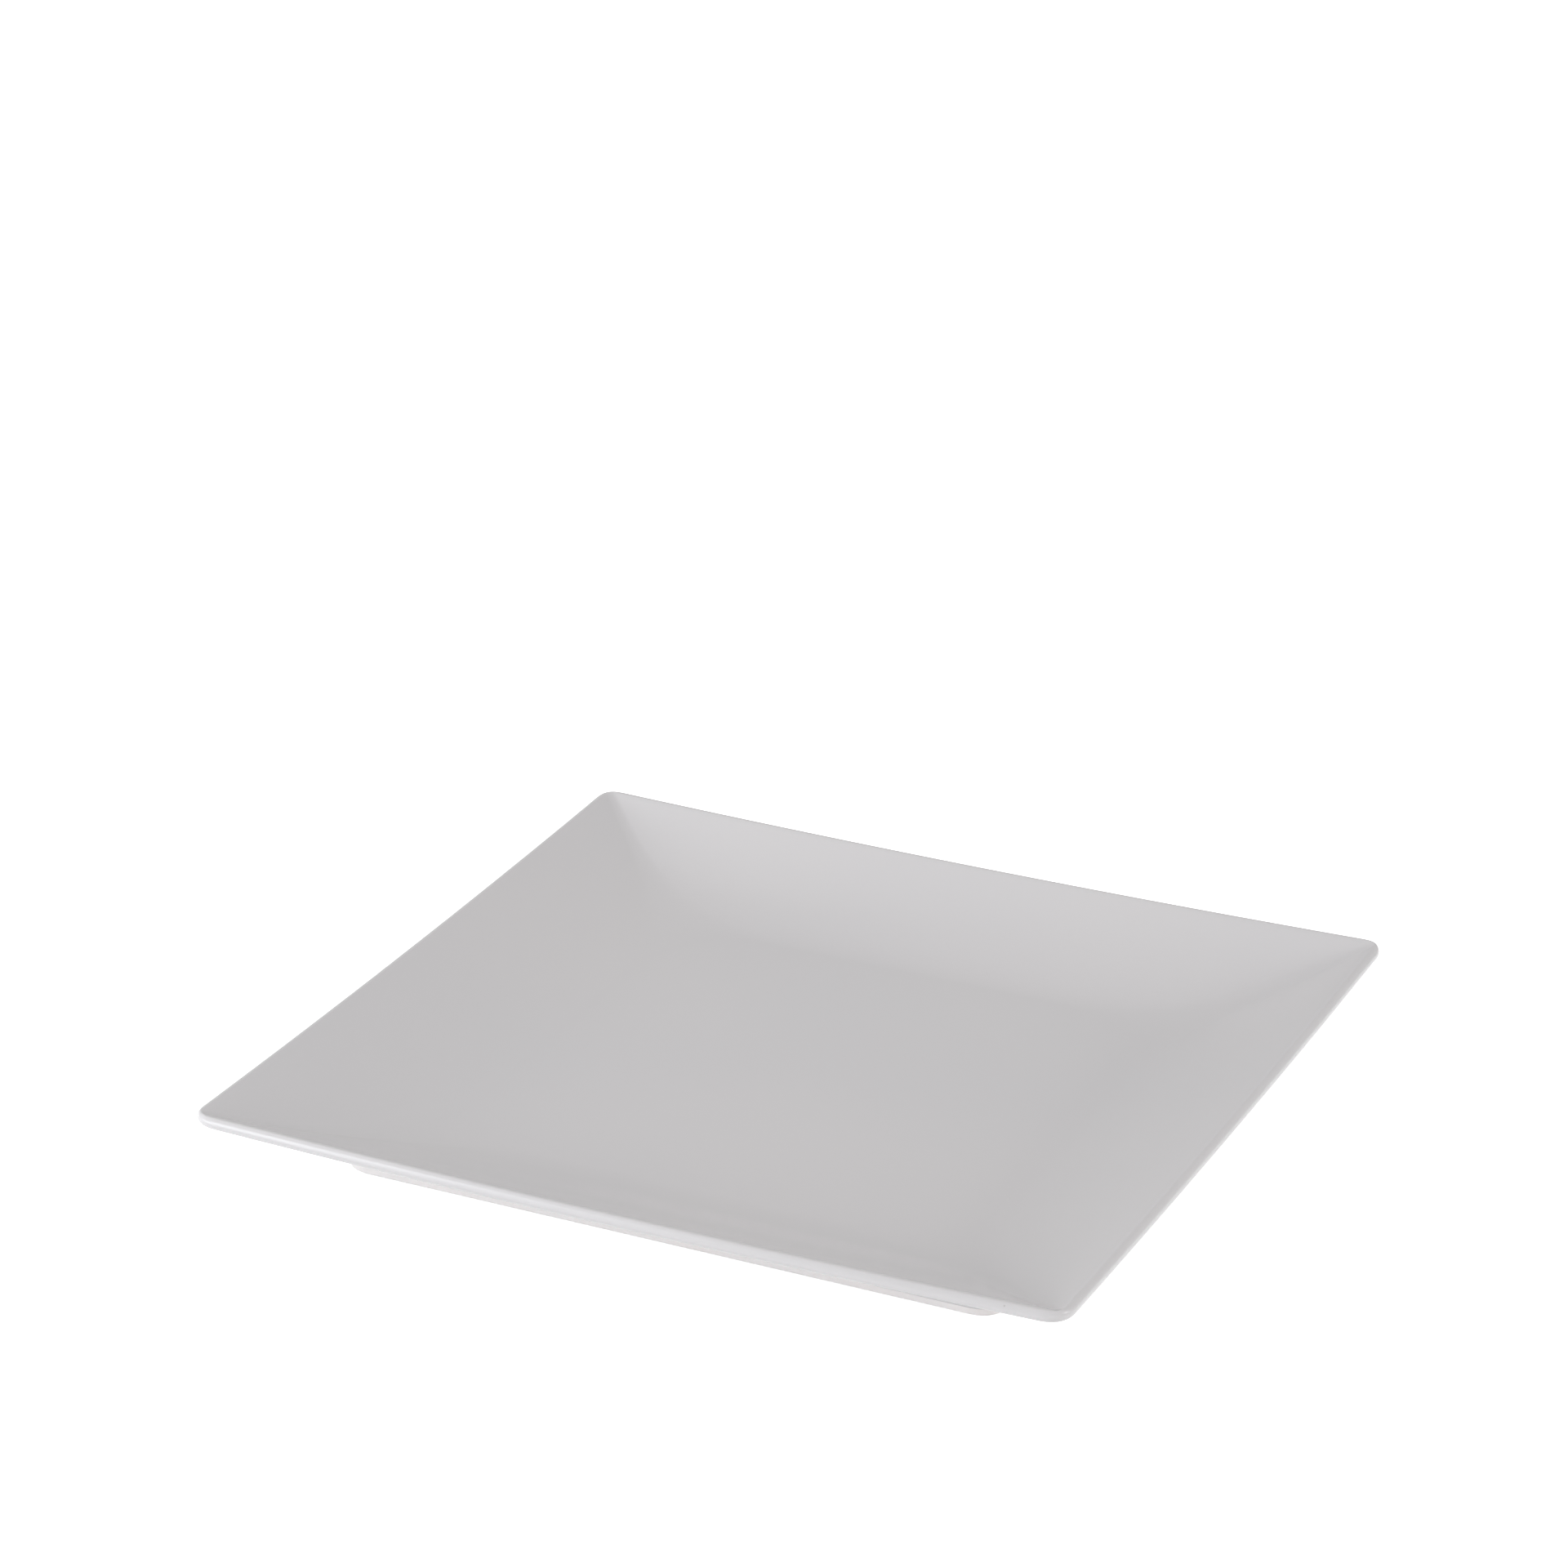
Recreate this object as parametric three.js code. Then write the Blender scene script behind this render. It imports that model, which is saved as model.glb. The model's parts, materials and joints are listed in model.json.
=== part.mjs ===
// A square coupe plate in white glazed porcelain.
//
// Units are millimetres and +Z is up. The origin is the middle of the plate, at the height of the table.
//
// The plate is one fired body: a flat well, four walls that curve up to a rounded rim, and a foot ring, all
// pressed in one. A thin glaze covers the face, the rim and the outside, down to a line on the foot. A second
// patch of glaze lies inside the foot ring, because the foot's bearing face is wiped bare before firing.
//
// One half section drives every surface. It runs from the middle of the well out to the rim and back below to
// the middle. Each of its points stands for a level line round the plate: a square with rounded corners that
// rises a little towards them. The body is lofted through those lines, and the two glazes are lofted through
// the same lines moved outwards along the section's normals.

import * as THREE from "three";

// Rim and dish
const PLATE_SIDE = 260; // across the rim, from edge to edge
const DISH_DEPTH = 15.25; // from the well's floor up to the top of the rim, at the middle of a side
const CORNER_LIFT = 1.5; // how much higher the rim stands at a corner than at the middle of a side
const LIP_THICKNESS = 3.4; // of the rim, whose edge is fully rounded
const RIM_CORNER_RADIUS = 7; // of the rim's outer edge, seen from above
const MITRE_RADIUS = 2.5; // of the dish's corners where the walls end at the lip, seen from above
const WALL_RUN = 52; // from the rim's outer edge in to the well, seen from above
const WALL_TANGENT = 17.7; // how far the well's level carries on below the wall's curve
const WELL_CORNER_RADIUS = 30; // of the flat well, seen from above
const MITRE_POWER = 2.8; // how early the corners tighten on the way up from the well to the rim
const CORNER_POWER = 2.6; // of the superellipse that each corner follows, seen from above: 2 would be an arc
const FLOOR_THICKNESS = 4.2; // glaze to glaze

// Foot ring
const FOOT_INSET = 30.6; // from the rim's outer edge in to the foot's outer face
const FOOT_WIDTH = 6; // of the ring
const FOOT_HEIGHT = 2.8; // from the table up to the glaze under the well
const FOOT_CORNER_RADIUS = 8; // of the foot's outer face, seen from above
const FOOT_INNER_CORNER_RADIUS = 7; // of the foot's inner face, seen from above
const FOOT_EDGE_RADIUS = 0.8; // of both edges of the bearing face
const FOOT_FILLET = 2; // where the ring grows out of the underside
const FILLET_SHARE = 0.8; // the most that a fillet takes of the glazed wall's height

// Glaze
const GLAZE_THICKNESS = 0.3;
const BOND_GAP = 0.02; // clearance kept between the glaze and the body it is fused to
const BARE_BAND = 1.5; // unglazed height above the foot's rounded edges
const GLAZE_FEATHER = 0.4; // height over which the glaze thins to half at its edge

// How finely the curves are divided
const CORNER_STEPS = 5;
const EDGE_STEPS = 5;
const WALL_STEPS = 7;
const LIP_STEPS = 6;
const UNDERSIDE_STEPS = 5;
const CEILING_STEPS = 3;
const FILLET_STEPS = 2;
const EDGE_ROUND_STEPS = 2;
const HALVINGS = 40; // of a search along a curve

// Colours and finish
const BISCUIT_WHITE = 0xf5f2f1;
const BISCUIT_ROUGHNESS = 0.65;
const GLAZE_WHITE = 0xd4d2d3;
const GLAZE_ROUGHNESS = 0.12;

// Places that follow from the sizes. Those of the body lie one glaze thickness below the finished surface.
const halfSide = PLATE_SIDE / 2;
const wellHalf = halfSide - WALL_RUN;
const footOuter = halfSide - FOOT_INSET;
const footInner = footOuter - FOOT_WIDTH;
const floorTop = FOOT_HEIGHT + FLOOR_THICKNESS - GLAZE_THICKNESS;
const rimTop = FOOT_HEIGHT + FLOOR_THICKNESS + DISH_DEPTH;
const floorCore = FLOOR_THICKNESS - 2 * GLAZE_THICKNESS;
const lipCore = LIP_THICKNESS - 2 * GLAZE_THICKNESS;
const lipRadius = lipCore / 2;
const lipCentre = new THREE.Vector2(halfSide - LIP_THICKNESS / 2, rimTop - LIP_THICKNESS / 2);
const glazeLine = FOOT_EDGE_RADIUS + BARE_BAND;
const quarterTurn = Math.PI / 2;
const { lerp, mapLinear, smoothstep } = THREE.MathUtils;

// The normal that points out of the body, for a section followed outwards above and inwards below.
function outward(curve, share) {
  const tangent = curve.getTangent(share);
  return new THREE.Vector2(-tangent.y, tangent.x);
}

// The wall leaves the well level and ends on the rounded lip, along the line that just touches it.
function wallCurve() {
  const start = new THREE.Vector2(wellHalf, floorTop);
  const bend = new THREE.Vector2(wellHalf + WALL_TANGENT, floorTop);
  const toLip = lipCentre.clone().sub(bend);
  const slope = toLip.angle() + Math.asin(lipRadius / toLip.length());
  const reach = Math.sqrt(toLip.lengthSq() - lipRadius ** 2);
  const touch = new THREE.Vector2(reach * Math.cos(slope), reach * Math.sin(slope)).add(bend);
  return new THREE.QuadraticBezierCurve(start, bend, touch);
}

// The underside of the wall keeps the floor's thickness at the well and comes down to the lip's at the rim.
class UndersideCurve extends THREE.Curve {
  constructor(wall) {
    super();
    this.wall = wall;
  }

  getPoint(share) {
    const thickness = lerp(floorCore, lipCore, share);
    return this.wall.getPoint(share).addScaledVector(outward(this.wall, share), -thickness);
  }

  // The share of the way from the well to the rim at this distance from the middle, 0 under the flat well.
  shareAt(half) {
    let low = 0;
    let high = 1;
    for (let i = 0; i < HALVINGS; i++) {
      const middle = (low + high) / 2;
      if (this.getPoint(middle).x < half) low = middle;
      else high = middle;
    }
    return low;
  }

  heightAt(half) {
    return this.getPoint(this.shareAt(half)).y;
  }
}

const wall = wallCurve();
const underside = new UndersideCurve(wall);

// One point of the section: distance from the middle, height, outward normal, the corner radius of its level
// line, how much of the corners' lift it takes, and how much of the full glaze thickness lies on it.
function sectionPoint(place, normal, radius, lift, glaze = 1) {
  return { half: place.x, z: place.y, normal, radius, lift, glaze };
}

// Points at even steps from one value to another, made by a function of the value.
function along(steps, from, to, make) {
  return Array.from({ length: steps + 1 }, (_, i) => make(lerp(from, to, i / steps)));
}

function rimRadiusAt(half) {
  return RIM_CORNER_RADIUS - (halfSide - half);
}

// The inside of the dish: its level lines go from the well's round corners to the mitres' tight ones.
function wallSection() {
  return along(WALL_STEPS, 0, 1, (share) => {
    const radius = lerp(MITRE_RADIUS, WELL_CORNER_RADIUS, (1 - share) ** MITRE_POWER);
    return sectionPoint(wall.getPoint(share), outward(wall, share), radius, share ** 2);
  });
}

// The rounded edge is a half circle from the wall's end to the start of the underside, without its two ends.
// Above, its corners widen from the mitres' radius to the rim's.
function lipSection() {
  const top = outward(wall, 1).angle();
  const arc = new THREE.ArcCurve(lipCentre.x, lipCentre.y, lipRadius, top, top - Math.PI, true);
  const edge = lipCentre.x + lipRadius;
  const points = along(LIP_STEPS, 0, 1, (share) => {
    const place = arc.getPoint(share);
    const normal = place.clone().sub(lipCentre).normalize();
    const radiusAbove = mapLinear(place.x, wall.v2.x, edge, MITRE_RADIUS, rimRadiusAt(edge));
    const radius = normal.y > 0 ? radiusAbove : rimRadiusAt(place.x);
    return sectionPoint(place, normal, radius, 1);
  });
  return points.slice(1, -1);
}

function undersidePoint(half, radius) {
  const share = underside.shareAt(half);
  const place = new THREE.Vector2(half, underside.heightAt(half));
  return sectionPoint(place, outward(underside, share).negate(), radius, share ** 2);
}

// A foot fillet's size at one face of the foot, limited by the height of the foot's wall there.
function filletAt(face) {
  const room = underside.heightAt(face) - glazeLine - GLAZE_FEATHER;
  return Math.min(FOOT_FILLET, room * FILLET_SHARE);
}

// The outside below the rim, in as far as the foot's fillet.
function undersideSection() {
  const rim = underside.getPoint(1).x;
  const fillet = filletAt(footOuter);
  const root = footOuter + fillet;
  const points = along(UNDERSIDE_STEPS, rim, root, (half) => {
    const radius = mapLinear(half, rim, root, rimRadiusAt(rim), FOOT_CORNER_RADIUS + fillet);
    return undersidePoint(half, radius);
  });
  return points.slice(0, -1);
}

// From the fillet inside the foot to the level underside of the well.
function ceilingSection() {
  const fillet = filletAt(footInner);
  const root = footInner - fillet;
  if (root <= wellHalf) return [];
  const points = along(CEILING_STEPS, root, wellHalf, (half) => {
    const radius = mapLinear(half, root, wellHalf, FOOT_INNER_CORNER_RADIUS - fillet, WELL_CORNER_RADIUS);
    return undersidePoint(half, radius);
  });
  return points.slice(1);
}

// One side of the foot, from the root of its fillet down to the glaze line. The side is 1 outside, -1 inside.
function footSideSection(face, cornerRadius, side) {
  const size = filletAt(face);
  const root = face + side * size;
  const rootLift = underside.shareAt(root) ** 2;
  const fillet = new THREE.QuadraticBezierCurve(
    new THREE.Vector2(root, underside.heightAt(root)),
    new THREE.Vector2(face, underside.heightAt(face)),
    new THREE.Vector2(face, underside.heightAt(face) - size),
  );
  const points = along(FILLET_STEPS, 0, 1, (share) => {
    const place = fillet.getPoint(share);
    const normal = outward(fillet, share).multiplyScalar(side);
    return sectionPoint(place, normal, cornerRadius + (place.x - face), rootLift * (1 - share));
  });
  const level = new THREE.Vector2(side, 0);
  const feather = new THREE.Vector2(face, glazeLine + GLAZE_FEATHER);
  const edge = new THREE.Vector2(face, glazeLine);
  points.push(sectionPoint(feather, level, cornerRadius, 0));
  points.push(sectionPoint(edge, level, cornerRadius, 0, 1 / 2));
  return points;
}

// The bare part of the foot: two rounded edges with the flat bearing face between them.
function bearingSection() {
  const radius = FOOT_EDGE_RADIUS;
  const edges = [
    { middle: footOuter - radius, start: 0, face: footOuter, corner: FOOT_CORNER_RADIUS },
    { middle: footInner + radius, start: -quarterTurn, face: footInner, corner: FOOT_INNER_CORNER_RADIUS },
  ];
  return edges.flatMap(({ middle, start, face, corner }) => {
    const arc = new THREE.ArcCurve(middle, radius, radius, start, start - quarterTurn, true);
    return along(EDGE_ROUND_STEPS, 0, 1, (share) => {
      const place = arc.getPoint(share);
      return sectionPoint(place, outward(arc, share), corner + (place.x - face), 0, 0);
    });
  });
}

// A corner seen from above is a quarter of a superellipse, which bends gently at its ends and most in its
// middle. The curve here has unit size and steps of about even length.
const cornerCurve = along(CORNER_STEPS, 0, 1, (share) => {
  const angle = quarterTurn * smoothstep(share, 0, 1);
  return [Math.cos(angle), Math.sin(angle)].map((part) => Math.max(part, 0) ** (2 / CORNER_POWER));
});
const cornerMiddle = 2 ** (-1 / CORNER_POWER);

// How much longer such a corner is than an arc that cuts the corner off as much.
const cornerLength = (1 - Math.SQRT1_2) / (1 - cornerMiddle);

// A level line of the section, moved out by an offset, as points counter-clockwise seen from above. Its
// corners are never sharper than the glaze is thick.
function levelLine(point, offset) {
  const half = point.half + offset * point.normal.x;
  const height = point.z + offset * point.normal.y;
  const radius = Math.max(point.radius + offset * point.normal.x, GLAZE_THICKNESS);
  const reach = Math.min(radius * cornerLength, half);
  const centre = half - reach;
  const cornerReach = centre + reach * cornerMiddle;
  const quarter = cornerCurve.map(([x, y]) => [centre + reach * x, centre + reach * y]);
  const edge = along(EDGE_STEPS, centre, -centre, (x) => [x, half]);
  quarter.push(...edge.slice(1, -1));
  const line = [];
  for (let turn = 0; turn < 4; turn++) {
    for (const corner of quarter) {
      let [x, y] = corner;
      for (let i = 0; i < turn; i++) [x, y] = [-y, x];
      const nearness = Math.min(Math.abs(x), Math.abs(y)) / cornerReach;
      line.push(new THREE.Vector3(x, y, height + point.lift * CORNER_LIFT * nearness ** 2));
    }
  }
  return line;
}

// A closed skin through level lines, with a point in the middle of the first and the last. Where the section
// is followed backwards, the strips' diagonals lean the other way, so that two skins lie flat on each other.
function loft(lines, isBackwards = () => false) {
  const count = lines[0].length;
  const middleOf = (line) => new THREE.Vector3(0, 0, line[0].z);
  const vertices = [middleOf(lines[0]), ...lines.flat(), middleOf(lines.at(-1))];
  const last = vertices.length - 1;
  const at = (line, i) => 1 + line * count + (i % count);
  const faces = [];
  for (let i = 0; i < count; i++) {
    faces.push(0, at(0, i), at(0, i + 1));
    for (let line = 0; line < lines.length - 1; line++) {
      const [a, b, c, d] = [at(line, i), at(line + 1, i), at(line + 1, i + 1), at(line, i + 1)];
      if (isBackwards(line)) faces.push(a, b, d, b, c, d);
      else faces.push(a, b, c, a, c, d);
    }
    faces.push(last, at(lines.length - 1, i + 1), at(lines.length - 1, i));
  }
  const geometry = new THREE.BufferGeometry().setFromPoints(vertices);
  geometry.setIndex(faces);
  geometry.computeVertexNormals();
  return geometry;
}

// The section's parts: what the coat covers, the bare foot, and what the glaze inside the foot covers.
const outerFoot = footSideSection(footOuter, FOOT_CORNER_RADIUS, 1);
const innerFoot = footSideSection(footInner, FOOT_INNER_CORNER_RADIUS, -1).reverse();
const coated = [...wallSection(), ...lipSection(), ...undersideSection(), ...outerFoot];
const recess = [...innerFoot, ...ceilingSection()];

const bodyLines = (points) => points.map((point) => levelLine(point, 0));
const bondLines = (points) => points.map((point) => levelLine(point, BOND_GAP));
const glazeLines = (points) => points.map((point) => levelLine(point, point.glaze * GLAZE_THICKNESS));

function porcelainBody() {
  return loft(bodyLines([...coated, ...bearingSection(), ...recess]));
}

function glazeCoat() {
  const lines = [...glazeLines(coated), ...bondLines(coated).reverse()];
  return loft(lines, (line) => line >= coated.length);
}

function footWellGlaze() {
  const lines = [...bondLines(recess).reverse(), ...glazeLines(recess)];
  return loft(lines, (line) => line < recess.length);
}

function piece(name, geometry, color, roughness) {
  const material = new THREE.MeshStandardMaterial({ color, roughness, metalness: 0 });
  const mesh = new THREE.Mesh(geometry, material);
  mesh.name = name;
  return mesh;
}

const plate = new THREE.Group();
plate.name = "square_plate";
plate.add(piece("porcelain_body", porcelainBody(), BISCUIT_WHITE, BISCUIT_ROUGHNESS));
plate.add(piece("glaze_coat", glazeCoat(), GLAZE_WHITE, GLAZE_ROUGHNESS));
plate.add(piece("foot_well_glaze", footWellGlaze(), GLAZE_WHITE, GLAZE_ROUGHNESS));

export default plate;
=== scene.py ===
# %% [markdown]
# A square white porcelain plate
#
# The plate is one pressed and fired piece of clay with a clear, glossy glaze fused over it. It has a
# flat square well, four walls that curve up to a rounded rim, mitred inner corners and a square foot
# ring below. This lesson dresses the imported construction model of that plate. It loads the model as a
# fixed frame, builds finer skins in the same places, gives them a glaze and a bare clay finish, and
# lights them softly on a pale table.

import json
import math
from typing import NamedTuple

import bpy
import numpy as np
from mathutils import Matrix, Vector


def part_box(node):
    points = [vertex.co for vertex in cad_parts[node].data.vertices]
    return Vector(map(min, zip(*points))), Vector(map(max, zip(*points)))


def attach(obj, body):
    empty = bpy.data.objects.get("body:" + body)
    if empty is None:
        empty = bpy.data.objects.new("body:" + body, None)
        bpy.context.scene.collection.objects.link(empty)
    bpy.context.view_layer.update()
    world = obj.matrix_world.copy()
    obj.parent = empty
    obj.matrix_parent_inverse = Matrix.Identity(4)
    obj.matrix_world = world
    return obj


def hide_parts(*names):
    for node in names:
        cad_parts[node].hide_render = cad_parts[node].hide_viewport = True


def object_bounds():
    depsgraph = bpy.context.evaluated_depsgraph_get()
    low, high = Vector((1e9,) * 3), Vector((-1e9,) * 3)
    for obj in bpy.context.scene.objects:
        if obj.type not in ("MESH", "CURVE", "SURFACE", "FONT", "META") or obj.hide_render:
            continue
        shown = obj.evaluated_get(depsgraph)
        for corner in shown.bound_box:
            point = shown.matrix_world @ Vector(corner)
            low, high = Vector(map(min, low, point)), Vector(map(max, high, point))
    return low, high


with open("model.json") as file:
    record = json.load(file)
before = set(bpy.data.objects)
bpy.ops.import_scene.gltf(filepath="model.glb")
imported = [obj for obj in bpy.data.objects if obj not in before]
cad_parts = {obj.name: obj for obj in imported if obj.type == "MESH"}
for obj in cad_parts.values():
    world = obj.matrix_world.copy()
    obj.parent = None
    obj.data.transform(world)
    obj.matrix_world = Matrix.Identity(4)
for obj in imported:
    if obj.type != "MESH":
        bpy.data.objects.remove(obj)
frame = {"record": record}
cad_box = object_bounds()

PRINT_DIGITS = 5


def rounded(box):
    return [tuple(round(value, PRINT_DIGITS) for value in corner) for corner in box]


print("construction model:", rounded(cad_box))

# %% [markdown]
# The sizes. Those that the frame can tell are measured on it: the side, the height of the well's floor
# and the height at which the glaze stops on the foot. The others are the plate's own driving sizes, in
# metres, named as a potter would name them on a drawing of the section. Heights and radii could be
# typed straight into the meshes, but then no size could be changed without redrawing the plate.

# %% Sizes of the plate
MM = 0.001
MEASURE_DIGITS = 4

coat_low, coat_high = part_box("glaze_coat")
mounts = {mount["name"]: mount for mount in frame["record"]["mounts"]}

half_side = round(coat_high.x, MEASURE_DIGITS)
well_level = mounts["well_floor"]["pos_m"][2]
glaze_line = round(coat_low.z, MEASURE_DIGITS)

DISH_DEPTH = 15.25 * MM
CORNER_LIFT = 1.5 * MM
LIP_THICKNESS = 3.4 * MM
RIM_CORNER_RADIUS = 7 * MM
MITRE_RADIUS = 2.5 * MM
WALL_RUN = 52 * MM
WALL_TANGENT = 17.7 * MM
WELL_CORNER_RADIUS = 30 * MM
FLOOR_THICKNESS = 4.2 * MM
FOOT_INSET = 30.6 * MM
FOOT_WIDTH = 6 * MM
FOOT_CORNER_RADIUS = 8 * MM
FOOT_INNER_CORNER_RADIUS = 7 * MM
FOOT_EDGE_RADIUS = 0.8 * MM
FOOT_FILLET = 2 * MM
GLAZE_THICKNESS = 0.3 * MM
GLAZE_FEATHER = 0.4 * MM
BOND_GAP = 0.02 * MM

well_half = half_side - WALL_RUN
foot_outer = half_side - FOOT_INSET
foot_inner = foot_outer - FOOT_WIDTH
print(f"side {2 * half_side / MM:.1f} mm, well floor at {well_level / MM:.2f} mm")
print(f"glaze line on the foot at {glaze_line / MM:.2f} mm")

# %% [markdown]
# The section. On the real plate one profile tool shapes the face while the mould shapes the back, so
# half of one section explains the whole form. It could be drawn as a curve object and spun, but a
# square plate isn't round. Instead each point of the section stands for a level line round the plate,
# and carries what that line needs: its place, the way out of the clay, the radius of its corners, how
# much it rises at the corners and how much glaze lies on it.

# %% Points of the section
class Section(NamedTuple):
    place: np.ndarray  # distance from the middle and height, for each point
    normal: np.ndarray  # the way out of the clay
    corner: np.ndarray  # radius of the level line's corners
    lift: np.ndarray  # share of the rise at the corners
    glaze: np.ndarray  # share of the full glaze thickness


def section_of(place, normal, corner, lift, glaze=1.0):
    """A stretch of the section. A number that stands for all its points is spread over them."""
    shape = (len(place),)
    spread = [np.broadcast_to(np.asarray(value, float), shape) for value in (corner, lift, glaze)]
    return Section(np.asarray(place, float), np.asarray(normal, float), *spread)


def join(*stretches):
    return Section(*(np.concatenate(parts) for parts in zip(*stretches)))


def reverse(stretch):
    return Section(*(values[::-1] for values in stretch))


print("each point of the section has its", ", ".join(Section._fields))

# %% [markdown]
# Bends. The wall and the fillets of the foot are plain bends: a line that leaves one point towards a
# second and comes to a third from it. A Bezier curve object would draw them too. Here they are worked
# out in numbers, because the next steps need the direction at each point as well as its place.

# %% Bends and their normals
def unit(vectors):
    return vectors / np.linalg.norm(vectors, axis=1, keepdims=True)


def bend(start, middle, end, share):
    """Places and directions along a curve that leaves start towards middle and comes to end from it."""
    start, middle, end = (np.asarray(point, float) for point in (start, middle, end))
    s = share[:, None]
    place = (1 - s) ** 2 * start + 2 * (1 - s) * s * middle + s**2 * end
    return place, unit((1 - s) * (middle - start) + s * (end - middle))


def left_of(along):
    """The normals on the left hand of the directions. The section is followed outwards on the face."""
    return np.stack([-along[:, 1], along[:, 0]], axis=1)


halfway = bend([0, 0], [1, 0], [1, 1], np.array([0.5]))[0][0]
print("a bend round the corner of a unit square passes", halfway.tolist())

# %% [markdown]
# The wall and the lip. The wall leaves the well level, then steepens all the way to the rim, where it
# runs into the rounded lip along the line that just touches it. A bevel could round the lip on a plain
# mesh, but on this plate the corners change on the way: they are round at the well, sharpen to mitres
# up the wall and widen again over the lip. So each level line gets a corner radius of its own. All this
# is the clay, so it lies one glaze thickness inside the finished surface.

# %% Wall and lip
WALL_STEPS = 44
LIP_STEPS = 28
MITRE_POWER = 2.8  # how soon the corners sharpen on the way up the wall
LIFT_POWER = 2  # how late the rise at the corners sets in on the way up

floor_top = well_level - GLAZE_THICKNESS
rim_top = well_level + DISH_DEPTH
lip_core = LIP_THICKNESS - 2 * GLAZE_THICKNESS
lip_radius = lip_core / 2
lip_centre = np.array([half_side - LIP_THICKNESS / 2, rim_top - LIP_THICKNESS / 2])


def rim_corner_at(half):
    return RIM_CORNER_RADIUS - (half_side - half)


def wall_at(share):
    """Places and directions up the wall, from the well to where it touches the lip's circle."""
    start = np.array([well_half, floor_top])
    middle = start + [WALL_TANGENT, 0]
    to_lip = lip_centre - middle
    length = np.hypot(*to_lip)
    slope = np.arctan2(to_lip[1], to_lip[0]) + np.arcsin(lip_radius / length)
    reach = np.sqrt(length**2 - lip_radius**2)
    touch = middle + reach * np.array([np.cos(slope), np.sin(slope)])
    return bend(start, middle, touch, share)


def wall_section():
    share = np.linspace(0, 1, WALL_STEPS + 1)
    place, along = wall_at(share)
    corner = MITRE_RADIUS + (WELL_CORNER_RADIUS - MITRE_RADIUS) * (1 - share) ** MITRE_POWER
    return section_of(place, left_of(along), corner, share**LIFT_POWER)


def lip_section():
    """The rounded edge. On its upper half the corners widen from the mitres' radius to the rim's."""
    end, along = wall_at(np.array([1.0]))
    top = np.arctan2(along[0, 0], -along[0, 1])
    angle = np.linspace(top, top - np.pi, LIP_STEPS + 1)[1:-1]
    normal = np.stack([np.cos(angle), np.sin(angle)], axis=1)
    place = lip_centre + lip_radius * normal
    edge = lip_centre[0] + lip_radius
    corner_above = np.interp(place[:, 0], [end[0, 0], edge], [MITRE_RADIUS, rim_corner_at(edge)])
    corner = np.where(angle > 0, corner_above, rim_corner_at(place[:, 0]))
    return section_of(place, normal, corner, lift=1.0)


rim_along = wall_at(np.array([1.0]))[1][0]
rim_slope = math.degrees(math.atan2(rim_along[1], rim_along[0]))
print(f"wall slope at the rim {rim_slope:.1f} degrees")

# %% [markdown]
# The underside. It follows the wall at the clay's own thickness, which thins from the floor to the lip.
# A solidify modifier would give one even thickness, so the underside is measured off the wall instead,
# in many fine steps, and is read back from these at any distance from the middle.

# %% Underside
FINE_STEPS = 2000

floor_core = FLOOR_THICKNESS - 2 * GLAZE_THICKNESS
fine_share = np.linspace(0, 1, FINE_STEPS + 1)
wall_place, wall_along = wall_at(fine_share)
clay = floor_core + (lip_core - floor_core) * fine_share
under_place = wall_place - clay[:, None] * left_of(wall_along)
under_normal = -left_of(unit(np.gradient(under_place, axis=0)))


def under_read(half, values):
    """A measure of the underside, read at distances from the middle."""
    return np.interp(half, under_place[:, 0], values)


def under_height(half):
    return under_read(half, under_place[:, 1])


def under_lift(half):
    return under_read(half, fine_share) ** LIFT_POWER


def under_section(half, corner):
    place = np.stack([half, under_height(half)], axis=1)
    normal = np.stack([under_read(half, values) for values in under_normal.T], axis=1)
    return section_of(place, unit(normal), corner, under_lift(half))


print(f"clay {floor_core / MM:.1f} mm thick at the floor and {lip_core / MM:.1f} mm at the lip")

# %% [markdown]
# The foot's sides. A plate stands on a low ring so that its middle never rocks and the glaze doesn't
# fuse to the kiln shelf. The ring could be a mesh of its own pushed into the plate, but on the real one
# it is the same clay, so fillets lead from the underside into it without a seam. The glaze is wiped off
# before firing, so it stops at a line a little above the table and thins out there.

# %% Sides of the foot
FILLET_STEPS = 10
FEATHER_STEPS = 4
FILLET_SHARE = 0.8  # of the height above the glaze's thinning edge, the most that a fillet takes
GLAZE_THINNING = 0.25  # share of its thickness that the glaze loses at its edge
THINNING_POWER = 2  # how late it thins on the way down
OUTSIDE, INSIDE = 1, -1


def fillet_at(face):
    """A fillet's size at one face of the foot, limited by the height of the foot's wall there."""
    room = under_height(face) - glaze_line - GLAZE_FEATHER
    return min(FOOT_FILLET, room * FILLET_SHARE)


def foot_side_section(face, corner, side):
    """One side of the foot, from its fillet down to the glaze line."""
    size = fillet_at(face)
    root = face + side * size
    share = np.linspace(0, 1, FILLET_STEPS + 1)
    top = under_height(face)
    place, along = bend([root, under_height(root)], [face, top], [face, top - size], share)
    fillet_corner = corner + (place[:, 0] - face)
    fillet = section_of(place, side * left_of(along), fillet_corner, under_lift(root) * (1 - share))
    fade = np.linspace(0, 1, FEATHER_STEPS + 1)
    height = glaze_line + GLAZE_FEATHER * (1 - fade)
    level = np.tile([float(side), 0.0], (len(fade), 1))
    edge_place = np.stack([np.full_like(height, face), height], axis=1)
    glaze = 1 - GLAZE_THINNING * fade**THINNING_POWER
    return join(fillet, section_of(edge_place, level, corner, lift=0.0, glaze=glaze))


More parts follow.
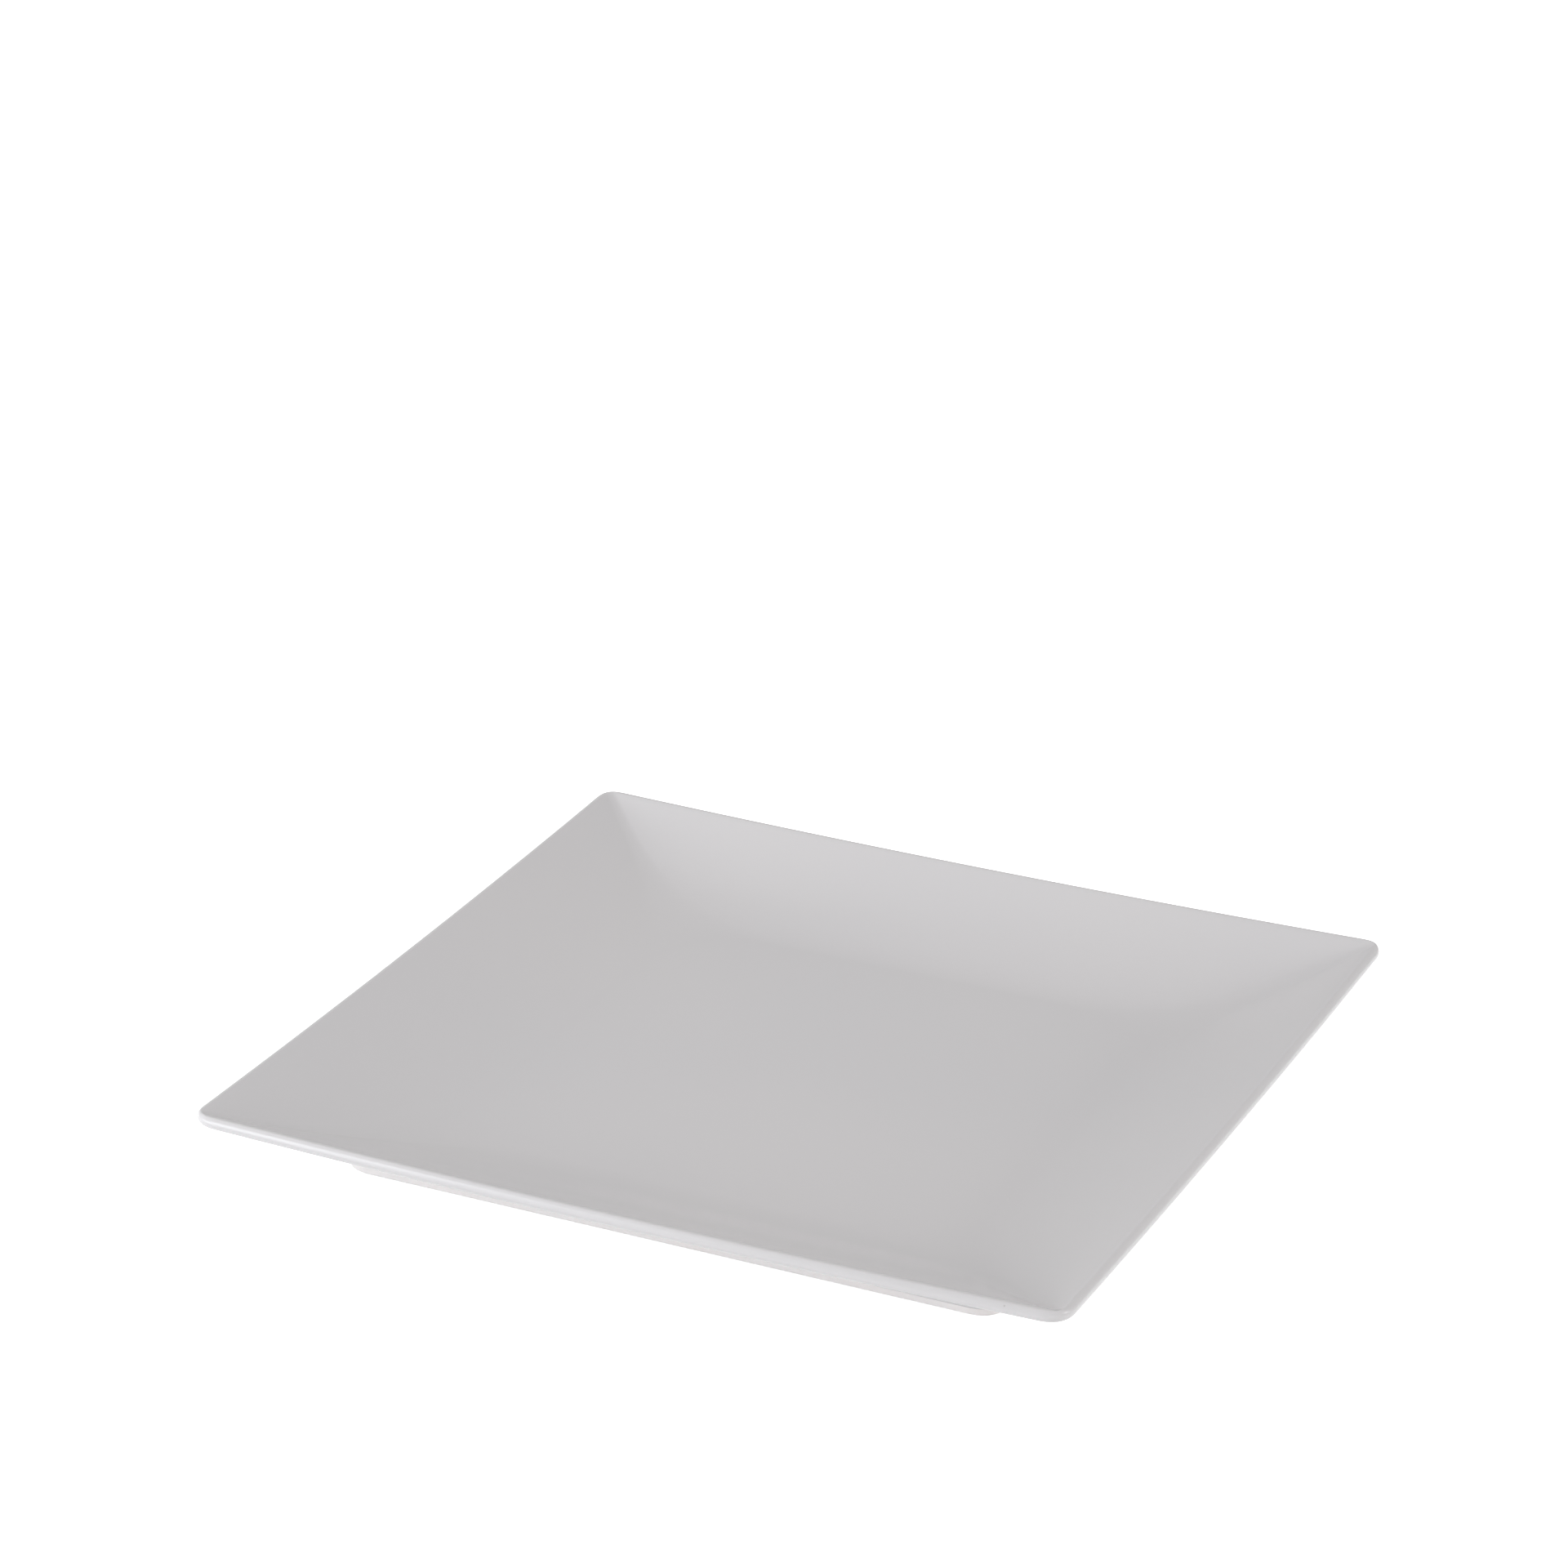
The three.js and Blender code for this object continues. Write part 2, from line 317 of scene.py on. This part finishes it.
outer_foot = foot_side_section(foot_outer, FOOT_CORNER_RADIUS, OUTSIDE)
inner_foot = reverse(foot_side_section(foot_inner, FOOT_INNER_CORNER_RADIUS, INSIDE))
for name, face in (("outer", foot_outer), ("inner", foot_inner)):
    print(f"{name} fillet {fillet_at(face) / MM:.2f} mm")

# %% [markdown]
# The bearing face. It is the bare, flat bottom of the foot, and all that touches the table. Its two
# edges are rounded, as fired edges are. A bevel modifier would round them on the finished mesh, but as
# points of the section they line up with all the other level lines.

# %% Bearing face
EDGE_ROUND_STEPS = 8
BEARING_STEPS = 3
QUARTER_TURN = np.pi / 2


def round_edge(middle, start, face, corner):
    """One round edge of the foot: a quarter turn downwards or inwards, bare of glaze."""
    angle = start + np.linspace(0, -QUARTER_TURN, EDGE_ROUND_STEPS + 1)
    normal = np.stack([np.cos(angle), np.sin(angle)], axis=1)
    place = np.array([middle, FOOT_EDGE_RADIUS]) + FOOT_EDGE_RADIUS * normal
    return section_of(place, normal, corner + (place[:, 0] - face), lift=0.0, glaze=0.0)


def bearing_section():
    """The bare part of the foot: two round edges with the flat bearing face between them."""
    outer_middle = foot_outer - FOOT_EDGE_RADIUS
    inner_middle = foot_inner + FOOT_EDGE_RADIUS
    outside = round_edge(outer_middle, 0.0, foot_outer, FOOT_CORNER_RADIUS)
    inside = round_edge(inner_middle, -QUARTER_TURN, foot_inner, FOOT_INNER_CORNER_RADIUS)
    share = np.linspace(0, 1, BEARING_STEPS + 1)[1:-1]
    between = outside.place[-1] + share[:, None] * (inside.place[0] - outside.place[-1])
    corner = outside.corner[-1] + share * (inside.corner[0] - outside.corner[-1])
    down = np.tile([0.0, -1.0], (len(share), 1))
    return join(outside, section_of(between, down, corner, lift=0.0, glaze=0.0), inside)


bearing = bearing_section()
print(f"lowest point of the foot at {bearing.place[:, 1].min() / MM:.2f} mm")

# %% [markdown]
# The whole section. Two stretches are still missing: the underside from the lip to the foot, and the
# ceiling of the recess inside the foot. The two ends of each have corners of different radius, so the
# radius slides from one to the other. Then all the stretches are joined in the order in which a finger
# would follow them: up the wall, over the lip, along the underside, round the foot and into the recess.

# %% Whole section
UNDERSIDE_STEPS = 26
CEILING_STEPS = 10


def underside_section():
    rim = under_place[-1, 0]
    fillet = fillet_at(foot_outer)
    half = np.linspace(rim, foot_outer + fillet, UNDERSIDE_STEPS + 1)[:-1]
    share = (rim - half) / (rim - foot_outer - fillet)
    corner = rim_corner_at(rim) + (FOOT_CORNER_RADIUS + fillet - rim_corner_at(rim)) * share
    return under_section(half, corner)


def ceiling_section():
    fillet = fillet_at(foot_inner)
    root = foot_inner - fillet
    half = np.linspace(root, well_half, CEILING_STEPS + 1)[1:]
    share = (root - half) / (root - well_half)
    root_corner = FOOT_INNER_CORNER_RADIUS - fillet
    return under_section(half, root_corner + (WELL_CORNER_RADIUS - root_corner) * share)


coated = join(wall_section(), lip_section(), underside_section(), outer_foot)
recess = join(inner_foot, ceiling_section())
whole = join(coated, bearing, recess)
for name, stretch in (("coat", coated), ("recess", recess), ("body", whole)):
    print(name, "section points:", len(stretch.lift))

# %% [markdown]
# Level lines. A level line is a square with round corners that rises towards them. A plain arc would
# leave a faint edge on the glaze where it meets the straight side, so each corner is a quarter of a
# superellipse, which bends gently at its ends and most in its middle.

# %% Level lines
SIDES = 4
CORNER_STEPS = 22
EDGE_STEPS = 34
CORNER_POWER = 2.6  # of the superellipse, where 2 would be an arc
RISE_POWER = 2  # how late the rise sets in from the middle of a side to its corner


def eased_corner(count):
    """A quarter of a superellipse of unit size, from the right to the top, in about even steps."""
    share = np.linspace(0, 1, count + 1)
    angle = QUARTER_TURN * share**2 * (3 - 2 * share)
    return np.stack([np.cos(angle), np.sin(angle)], axis=1).clip(0, 1) ** (2 / CORNER_POWER)


corner_curve = eased_corner(CORNER_STEPS)
# How much longer the eased corner is than an arc that cuts the corner off as much.
corner_length = (1 - math.sqrt(0.5)) / (1 - 0.5 ** (1 / CORNER_POWER))


def level_line(half, height, radius, lift):
    """Points of one level line, counter-clockwise seen from above."""
    reach = min(max(radius, GLAZE_THICKNESS) * corner_length, half)
    centre = half - reach
    corner = centre + reach * corner_curve
    across = np.linspace(centre, -centre, EDGE_STEPS + 1)[1:-1]
    turns = [np.concatenate([corner, np.stack([across, np.full_like(across, half)], axis=1)])]
    while len(turns) < SIDES:
        turns.append(left_of(turns[-1]))
    flat = np.concatenate(turns)
    from_axes = np.abs(flat).min(axis=1)
    nearness = from_axes / from_axes.max()
    return np.column_stack([flat, height + lift * CORNER_LIFT * nearness**RISE_POWER])


def lines_of(stretch, offset):
    """The level lines of a stretch, moved out of the clay by an offset for each point."""
    offset = np.broadcast_to(offset, stretch.lift.shape)
    half = stretch.place[:, 0] + offset * stretch.normal[:, 0]
    height = stretch.place[:, 1] + offset * stretch.normal[:, 1]
    radius = stretch.corner + offset * stretch.normal[:, 0]
    return [level_line(*point) for point in zip(half, height, radius, stretch.lift)]


print(f"an eased corner is {corner_length:.2f} times as long as an arc")

# %% [markdown]
# Lofts. A skin is a loft through such lines, closed over the flat middle at both ends. A subdivision
# surface over a coarse cage would round the mitres and the lip by a guess, so the lines are simply
# placed close enough to look smooth.

# %% Lofts
FLAT_STEPS = 8
SMOOTH_ANGLE = math.radians(38)


def flat_lines(line):
    """Ever smaller copies of a level line, from the line in to the middle of its flat face."""
    shares = np.linspace(1, 0, FLAT_STEPS + 1)[1:-1]
    return [line * [share, share, 1.0] for share in shares]


def skin_faces(line_count, count):
    """Faces through lines of equal count, with a middle point before the first and after the last."""
    at = np.arange(line_count * count).reshape(line_count, count) + 1
    ahead = np.roll(at, -1, axis=1)
    quads = np.stack([at[:-1], at[1:], ahead[1:], ahead[:-1]], axis=-1).reshape(-1, 4)
    last = line_count * count + 1
    first_fan = [(0, a, b) for a, b in zip(at[0], ahead[0])]
    last_fan = [(last, b, a) for a, b in zip(at[-1], ahead[-1])]
    return [*first_fan, *map(tuple, quads), *last_fan]


def add_to_scene(name, data):
    made = bpy.data.objects.new(name, data)
    bpy.context.scene.collection.objects.link(made)
    return made


def loft(name, lines):
    """A closed mesh object through level lines, whose first and last lines close over the middle."""
    lines = [*flat_lines(lines[0])[::-1], *lines, *flat_lines(lines[-1])]
    middles = [np.array([[0.0, 0.0, line[0, 2]]]) for line in (lines[0], lines[-1])]
    vertices = np.concatenate([middles[0], *lines, middles[1]])
    mesh = bpy.data.meshes.new(name)
    mesh.from_pydata(vertices.tolist(), [], skin_faces(len(lines), len(lines[0])))
    mesh.update()
    mesh.shade_smooth()
    mesh.set_sharp_from_angle(angle=SMOOTH_ANGLE)
    print(f"{name}: {len(mesh.vertices)} points, {len(mesh.polygons)} faces")
    return add_to_scene(name, mesh)


print(f"edges sharper than {math.degrees(SMOOTH_ANGLE):.0f} degrees stay crisp")

# %% [markdown]
# The three pieces. The clay body runs along the whole section. The coat of glaze goes out along the
# face, over the lip and down the outside to the glaze line, then back on the clay's side. The glaze in
# the recess does the same inside the foot ring. One mesh with two materials would look alike from
# outside, but a real glaze is a layer of its own, with a thickness that shows at its edge. Each piece
# stands where its piece of the construction model stands, and replaces it.

# %% Body and glazes
coat_out = lines_of(coated, coated.glaze * GLAZE_THICKNESS)
coat_in = lines_of(coated, BOND_GAP)
recess_out = lines_of(recess, recess.glaze * GLAZE_THICKNESS)
recess_in = lines_of(recess, BOND_GAP)

porcelain_body = loft("plate_body", lines_of(whole, 0.0))
glaze_coat = loft("plate_glaze", [*coat_out, *coat_in[::-1]])
foot_well_glaze = loft("foot_recess_glaze", [*recess_in[::-1], *recess_out])

for piece, node, slot in (
    (porcelain_body, "porcelain_body", "biscuit_porcelain"),
    (glaze_coat, "glaze_coat", "white_glaze"),
    (foot_well_glaze, "foot_well_glaze", "white_glaze"),
):
    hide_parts(node)
    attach(piece, "root")

# %% [markdown]
# Helpers for nodes. A node tree could be wired by hand in the shader editor. In a script it is easier
# to read when each node is one call that says what kind it is, how it is set and what goes into it.

# %% Node helpers
def feed(tree, socket, value):
    """Sets an input to a value, or links it to the socket that feeds it."""
    if isinstance(value, bpy.types.NodeSocket):
        tree.links.new(value, socket)
    else:
        socket.default_value = value


def add_node(tree, kind, inputs=None, **settings):
    """Adds a node to a tree, sets it and feeds its inputs."""
    made = tree.nodes.new(kind)
    for name, value in settings.items():
        setattr(made, name, value)
    for name, value in (inputs or {}).items():
        feed(tree, made.inputs[name], value)
    return made


def calculate(tree, operation, first, second):
    node = add_node(tree, "ShaderNodeMath", {0: first, 1: second}, operation=operation)
    return node.outputs["Value"]


def change_range(tree, value, given, wanted=(0.0, 1.0), interpolation="SMOOTHSTEP"):
    """A value carried over from the range that is given to the one that is wanted."""
    inputs = {"Value": value}
    inputs["From Min"], inputs["From Max"] = given
    inputs["To Min"], inputs["To Max"] = wanted
    node = add_node(tree, "ShaderNodeMapRange", inputs, interpolation_type=interpolation)
    return node.outputs["Result"]


def mix_colours(tree, mask, under, over):
    """The colour under a mask where the mask is 0, and the one over it where it is 1."""
    mix = add_node(tree, "ShaderNodeMix", {"Factor": mask}, data_type="RGBA")
    first, second = (socket for socket in mix.inputs if socket.type == "RGBA")
    feed(tree, first, under)
    feed(tree, second, over)
    return next(socket for socket in mix.outputs if socket.type == "RGBA")


def piece_place(tree):
    """The place on the piece itself, so that a pattern stays put when the piece moves."""
    return add_node(tree, "ShaderNodeTexCoord").outputs["Object"]


print("node helpers ready")

# %% [markdown]
# Helpers for groups. Some things happen to any fired clay, glazed or bare. Copying their nodes into
# each material would do, but then a change has to be made twice. So each is a node group, built once,
# with named inputs for what differs from one finish to the other.

# %% Group helpers
COLOUR = "NodeSocketColor"
NUMBER = "NodeSocketFloat"


def new_group(name, inputs, outputs):
    """An empty node group with named sockets, what it is given and what it puts out."""
    group = bpy.data.node_groups.new(name, "ShaderNodeTree")
    for in_out, sockets in (("INPUT", inputs), ("OUTPUT", outputs)):
        for socket, kind in sockets.items():
            group.interface.new_socket(socket, in_out=in_out, socket_type=kind)
    given = group.nodes.new("NodeGroupInput").outputs
    out = group.nodes.new("NodeGroupOutput").inputs
    print("group", name, "with inputs", list(inputs))
    return group, given, out


def place_group(tree, group, inputs):
    return add_node(tree, "ShaderNodeGroup", inputs, node_tree=group).outputs


def add_noise(tree, scale, texture):
    inputs = {"Vector": piece_place(tree), "Scale": scale, **texture}
    return add_node(tree, "ShaderNodeTexNoise", inputs).outputs["Fac"]


print("group helpers ready")

# %% [markdown]
# Kiln drift. The tone of fired clay drifts a little from place to place with the heat of the kiln. One
# flat colour looks like plastic, and a painted picture would need unwrapping, so soft noise leads from
# a cool tone to a warm one.

# %% Kiln drift
NOISE_RANGE = (0.3, 0.7)  # soft noise seldom leaves it
DRIFT_NOISE = {"Detail": 2.0, "Roughness": 0.45}


def make_kiln_drift():
    inputs = {"Cool": COLOUR, "Warm": COLOUR, "Patches per Metre": NUMBER}
    group, given, out = new_group("kiln_drift", inputs, {"Color": COLOUR})
    noise = add_noise(group, given["Patches per Metre"], DRIFT_NOISE)
    warmth = change_range(group, noise, NOISE_RANGE)
    feed(group, out["Color"], mix_colours(group, warmth, given["Cool"], given["Warm"]))
    return group


kiln_drift = make_kiln_drift()

# %% [markdown]
# Iron specks. Now and then a grain of iron in the clay leaves a tiny dark speck. Specks could be small
# discs laid on the surface, but they lie in it, so they belong to its colour. Voronoi cells split space
# up, each cell has a random colour that serves as its throw of the dice, and the few cells that throw
# high enough get a speck in their middle.

# %% Iron specks
def make_iron_specks():
    inputs = {"Cells per Metre": NUMBER, "Rarity": NUMBER, "Size": NUMBER}
    group, given, out = new_group("iron_specks", inputs, {"Mask": NUMBER})
    cell_inputs = {"Vector": piece_place(group), "Scale": given["Cells per Metre"]}
    cells = add_node(group, "ShaderNodeTexVoronoi", cell_inputs)
    dice = add_node(group, "ShaderNodeSeparateColor", {"Color": cells.outputs["Color"]})
    chosen = calculate(group, "GREATER_THAN", dice.outputs["Red"], given["Rarity"])
    inside = change_range(group, cells.outputs["Distance"], (given["Size"], 0.0))
    feed(group, out["Mask"], calculate(group, "MULTIPLY", chosen, inside))
    return group


iron_specks = make_iron_specks()

# %% [markdown]
# Surface relief. No fired surface is quite flat: glaze ripples softly and bare clay has a fine grain.
# Both are far too shallow for the mesh, so they are a height for a Bump node: broad waves, with as much
# grain on top as the finish asks for. The waves come out by themselves too, to vary the gloss.

# %% Surface relief
WAVE_NOISE = {"Detail": 1.0, "Roughness": 0.4}
GRAIN_NOISE = {"Detail": 3.0, "Roughness": 0.6}


def make_surface_relief():
    inputs = {"Waves per Metre": NUMBER, "Grain": NUMBER, "Grains per Metre": NUMBER}
    outputs = {"Height": NUMBER, "Unevenness": NUMBER}
    group, given, out = new_group("surface_relief", inputs, outputs)
    waves = add_noise(group, given["Waves per Metre"], WAVE_NOISE)
    grains = add_noise(group, given["Grains per Metre"], GRAIN_NOISE)
    grain_height = calculate(group, "MULTIPLY", grains, given["Grain"])
    feed(group, out["Height"], calculate(group, "ADD", waves, grain_height))
    feed(group, out["Unevenness"], waves)
    return group


surface_relief = make_surface_relief()

# %% [markdown]
# The lip's speck. One speck of iron has a place of its own, on the near lip by its right corner. The
# random cells can't be told where to put one, so this speck is a small ball of colour around a point
# that the surface passes through. Two more helpers serve both finishes: one starts a material, and
# one joins a colour, a roughness and a relief to its shader.

# %% Lip speck and material helpers
LIP_SPECK_PLACE = (112.9 * MM, -129.6 * MM, 22.8 * MM)
LIP_SPECK_RADIUS = 0.42 * MM
LIP_SPECK_DARKNESS = 0.42
SPECK_BROWN = (0.21, 0.17, 0.14, 1)


def with_lip_speck(tree, others):
    """A mask of specks with the one on the lip added to it."""
    offset = {0: piece_place(tree), 1: LIP_SPECK_PLACE}
    away = add_node(tree, "ShaderNodeVectorMath", offset, operation="DISTANCE").outputs["Value"]
    inside = change_range(tree, away, (LIP_SPECK_RADIUS, 0.0), (0.0, LIP_SPECK_DARKNESS))
    return calculate(tree, "MAXIMUM", inside, others)


def new_material(name):
    material = bpy.data.materials.new(name)
    material.use_nodes = True
    tree = material.node_tree
    return material, tree, tree.nodes["Principled BSDF"]


def dress_shader(tree, shader, colour, roughness, height, depth):
    bump = add_node(tree, "ShaderNodeBump", {"Height": height, "Distance": depth})
    feed(tree, shader.inputs["Base Color"], colour)
    feed(tree, shader.inputs["Roughness"], roughness)
    feed(tree, shader.inputs["Normal"], bump.outputs["Normal"])


print(f"lip speck of {2 * LIP_SPECK_RADIUS / MM:.2f} mm at {LIP_SPECK_PLACE}")

# %% [markdown]
# The glaze. White porcelain under clear glaze looks like a soft white with a sharp, weak mirror on top.
# It could be clear glass over a white body, but so thin a glass is slow and noisy to render. The
# Principled shader's diffuse and specular parts give the same look together. The colour is a shade
# below white and a touch warm. Its gloss changes slightly from place to place, and a ripple a few
# thousandths of a millimetre high keeps reflections from looking machined.

# %% White glaze
GLAZE_DRIFT = {
    "Cool": (0.655, 0.638, 0.645, 1),
    "Warm": (0.668, 0.648, 0.652, 1),
    "Patches per Metre": 9.0,
}
GLAZE_SPECKS = {"Cells per Metre": 45.0, "Rarity": 0.985, "Size": 0.014}
GLAZE_RELIEF = {"Waves per Metre": 110.0, "Grain": 0.0}
GLAZE_IOR = 1.5
GLAZE_ROUGHNESS = (0.09, 0.14)
RIPPLE_HEIGHT = 0.004 * MM


def make_white_glaze():
    material, tree, shader = new_material("white_glaze_finish")
    drift = place_group(tree, kiln_drift, GLAZE_DRIFT)
    specks = place_group(tree, iron_specks, GLAZE_SPECKS)
    relief = place_group(tree, surface_relief, GLAZE_RELIEF)
    speckled = with_lip_speck(tree, specks["Mask"])
    colour = mix_colours(tree, speckled, drift["Color"], SPECK_BROWN)
    gloss = change_range(tree, relief["Unevenness"], NOISE_RANGE, GLAZE_ROUGHNESS, "LINEAR")
    dress_shader(tree, shader, colour, gloss, relief["Height"], RIPPLE_HEIGHT)
    shader.inputs["IOR"].default_value = GLAZE_IOR
    return material


white_glaze = make_white_glaze()
for piece in (glaze_coat, foot_well_glaze):
    piece.data.materials.append(white_glaze)
print("glazed pieces:", glaze_coat.name, foot_well_glaze.name)

# %% [markdown]
# The bare clay. Fired without glaze it is matte, a little warmer and more porous, with a fine grain. A
# plain diffuse shader would be near enough from afar, but the Principled shader keeps the faint sheen
# that pressed clay has. Only the foot shows it, so the grain is sized for a close look at the foot's
# bearing face.

# %% Bare porcelain
CLAY_DRIFT = {
    "Cool": (0.93, 0.9, 0.89, 1),
    "Warm": (0.95, 0.905, 0.89, 1),
    "Patches per Metre": 40.0,
}
CLAY_SPECKS = {"Cells per Metre": 160.0, "Rarity": 0.95, "Size": 0.06}
CLAY_RELIEF = {"Waves per Metre": 300.0, "Grain": 0.8, "Grains per Metre": 2500.0}
CLAY_ROUGHNESS = (0.55, 0.75)
CLAY_GRAIN_HEIGHT = 0.03 * MM


def make_bare_porcelain():
    material, tree, shader = new_material("bare_porcelain_finish")
    drift = place_group(tree, kiln_drift, CLAY_DRIFT)
    specks = place_group(tree, iron_specks, CLAY_SPECKS)
    relief = place_group(tree, surface_relief, CLAY_RELIEF)
    colour = mix_colours(tree, specks["Mask"], drift["Color"], SPECK_BROWN)
    dryness = change_range(tree, relief["Unevenness"], NOISE_RANGE, CLAY_ROUGHNESS, "LINEAR")
    dress_shader(tree, shader, colour, dryness, relief["Height"], CLAY_GRAIN_HEIGHT)
    return material


porcelain_body.data.materials.append(make_bare_porcelain())
print("bare clay piece:", porcelain_body.name)

# %% [markdown]
# The table. The plate stands on a plain pale table that runs on far enough to fill the picture. It
# could be a white that only glows, but then no shadow would fall on it. So it has a real diffuse
# colour, which throws light back up under the rim and takes the plate's shadow. What the camera and
# the glaze's mirror see of it gets some added brightness, so that it reads as white.

# %% Pale table
TABLE_HALF = 30.0
TABLE_COLOUR = (0.88, 0.88, 0.88, 1)
TABLE_GLOW = 0.63


def seen_rays(tree):
    """A socket that is 1 for what the camera, a mirror or a glass sees, and 0 for light on surfaces."""
    path = add_node(tree, "ShaderNodeLightPath").outputs
    seen = calculate(tree, "MAXIMUM", path["Is Camera Ray"], path["Is Glossy Ray"])
    return calculate(tree, "MAXIMUM", seen, path["Is Transmission Ray"])


def make_table_finish():
    material, tree, shader = new_material("pale_table_finish")
    tree.nodes.remove(shader)
    matte = add_node(tree, "ShaderNodeBsdfDiffuse", {"Color": TABLE_COLOUR}).outputs["BSDF"]
    strength = calculate(tree, "MULTIPLY", seen_rays(tree), TABLE_GLOW)
    glow = add_node(tree, "ShaderNodeEmission", {"Strength": strength}).outputs["Emission"]
    both = add_node(tree, "ShaderNodeAddShader", {0: matte, 1: glow}).outputs["Shader"]
    feed(tree, tree.nodes["Material Output"].inputs["Surface"], both)
    return material


table_level = cad_box[0][2]
square = [(-1, -1), (1, -1), (1, 1), (-1, 1)]
table_corners = [(x * TABLE_HALF, y * TABLE_HALF, table_level) for x, y in square]
table_mesh = bpy.data.meshes.new("pale_table")
table_mesh.from_pydata(table_corners, [], [(0, 1, 2, 3)])
table_mesh.materials.append(make_table_finish())
table = add_to_scene("pale_table", table_mesh)
print("table at height", table_level)

# %% [markdown]
# The room. A studio's pale walls fill every shadow a little. Modelled walls would have to be traced and
# would show in other views, so the world is an even white at about half strength instead.

# %% White room
ROOM_COLOUR = (1, 1, 1, 1)
ROOM_LIGHT = 0.49

room = bpy.data.worlds.new("white_room")
room.use_nodes = True
background = room.node_tree.nodes["Background"]
background.inputs["Color"].default_value = ROOM_COLOUR
background.inputs["Strength"].default_value = ROOM_LIGHT
bpy.context.scene.world = room
print("room light", ROOM_LIGHT)

# %% [markdown]
# The lamps. Five soft lamps each do one thing. The wide softbox above left lights the well. The fill at
# the right lifts the left wall. A tall softbox at the front left draws the bright line along the near
# lip, strongest at its left end. Two low lamps in front reach under the rim and light the far wall of
# the dish, the near lip and the foot, the left one more. One strong sun would be simpler, but glaze
# shows every lamp as a mirror does, so each lamp is wide and fades towards its edges, as cloth in front
# of a bulb does. The camera doesn't see them, though the glaze does.

# %% Lamps
PLAIN_WHITE = (1, 1, 1)
COOL_WHITE = (0.94, 0.97, 1)


class Lamp(NamedTuple):
    place: tuple  # in metres: right, back and up from the middle of the plate
    size: tuple  # width and height of the lit face
    power: float  # in watts
    colour: tuple


LAMPS = {
    "left_softbox": Lamp((-1.0, 0.0, 1.15), (2.0, 2.0), 5.6, PLAIN_WHITE),
    "right_fill": Lamp((1.2, 0.1, 0.4), (1.0, 0.6), 4.6, PLAIN_WHITE),
    "front_left_softbox": Lamp((-0.62, -0.95, 0.58), (0.45, 1.3), 3.2, COOL_WHITE),
    "low_front_left": Lamp((-0.9, -0.95, 0.2), (1.4, 0.5), 5.7, COOL_WHITE),
    "low_front_right": Lamp((0.8, -1.0, 0.15), (1.2, 0.4), 1.2, COOL_WHITE),
}
# A lit face has places from 0 to 1 across it. These carry them over to -1 to 1.
FACE_SPAN = (2, 2, 0)
FACE_START = (-1, -1, 0)
# A cone of light over a square face is on average pi / 12 as bright as its tip.
FADE_GAIN = 12 / math.pi


def fade_to_edges(tree):
    """Makes a lamp brightest in its middle. The gain makes up for its dim edges."""
    face = add_node(tree, "ShaderNodeNewGeometry").outputs["Parametric"]
    shift = {0: face, 1: FACE_SPAN, 2: FACE_START}
    centred = add_node(tree, "ShaderNodeVectorMath", shift, operation="MULTIPLY_ADD").outputs["Vector"]
    fade = add_node(tree, "ShaderNodeTexGradient", {"Vector": centred}, gradient_type="SPHERICAL")
    strength = calculate(tree, "MULTIPLY", fade.outputs["Fac"], FADE_GAIN)
    feed(tree, tree.nodes["Emission"].inputs["Strength"], strength)


def hang_lamp(name, lamp):
    """A soft lamp that faces the plate. Its light is seen on the plate, but not the lamp itself."""
    data = bpy.data.lights.new(name, "AREA")
    data.shape = "RECTANGLE"
    data.size, data.size_y = lamp.size
    data.energy = lamp.power
    data.color = lamp.colour
    data.use_nodes = True
    fade_to_edges(data.node_tree)
    made = add_to_scene(name, data)
    made.location = lamp.place
    aim = Vector((0, 0, well_level)) - made.location
    made.rotation_euler = aim.to_track_quat("-Z", "Y").to_euler()
    made.visible_camera = False


for name, lamp in LAMPS.items():
    hang_lamp(name, lamp)
print("lamps:", {name: lamp.power for name, lamp in LAMPS.items()})

# %% [markdown]
# The camera. It stands to the front right of the plate and looks down at it, with a long lens that
# keeps opposite sides close to parallel. It could be turned by hand until the picture looks right, but
# its place was found by matching the four rim edges, and it leans by about a degree.

# %% Camera
CAMERA_PLACE = Vector((0.5405, -1.2366, 0.6671))
CAMERA_AIM = Vector((-0.0967, 0.1945, 0.0070))
CAMERA_ROLL = math.radians(1.18)
CAMERA_LENS = 119.39
SENSOR_WIDTH = 36.0

camera_data = bpy.data.cameras.new("camera")
camera_data.sensor_fit = "HORIZONTAL"
camera_data.sensor_width = SENSOR_WIDTH
camera_data.lens = CAMERA_LENS
camera = add_to_scene("camera", camera_data)
look = (CAMERA_AIM - CAMERA_PLACE).to_track_quat("-Z", "Y").to_matrix().to_4x4()
lean = Matrix.Rotation(CAMERA_ROLL, 4, "Z")
camera.matrix_world = Matrix.Translation(CAMERA_PLACE) @ look @ lean
bpy.context.scene.camera = camera
print(f"camera {(CAMERA_AIM - CAMERA_PLACE).length:.3f} m from its aim")

# %% Finish
bpy.context.scene.view_settings.view_transform = "Standard"
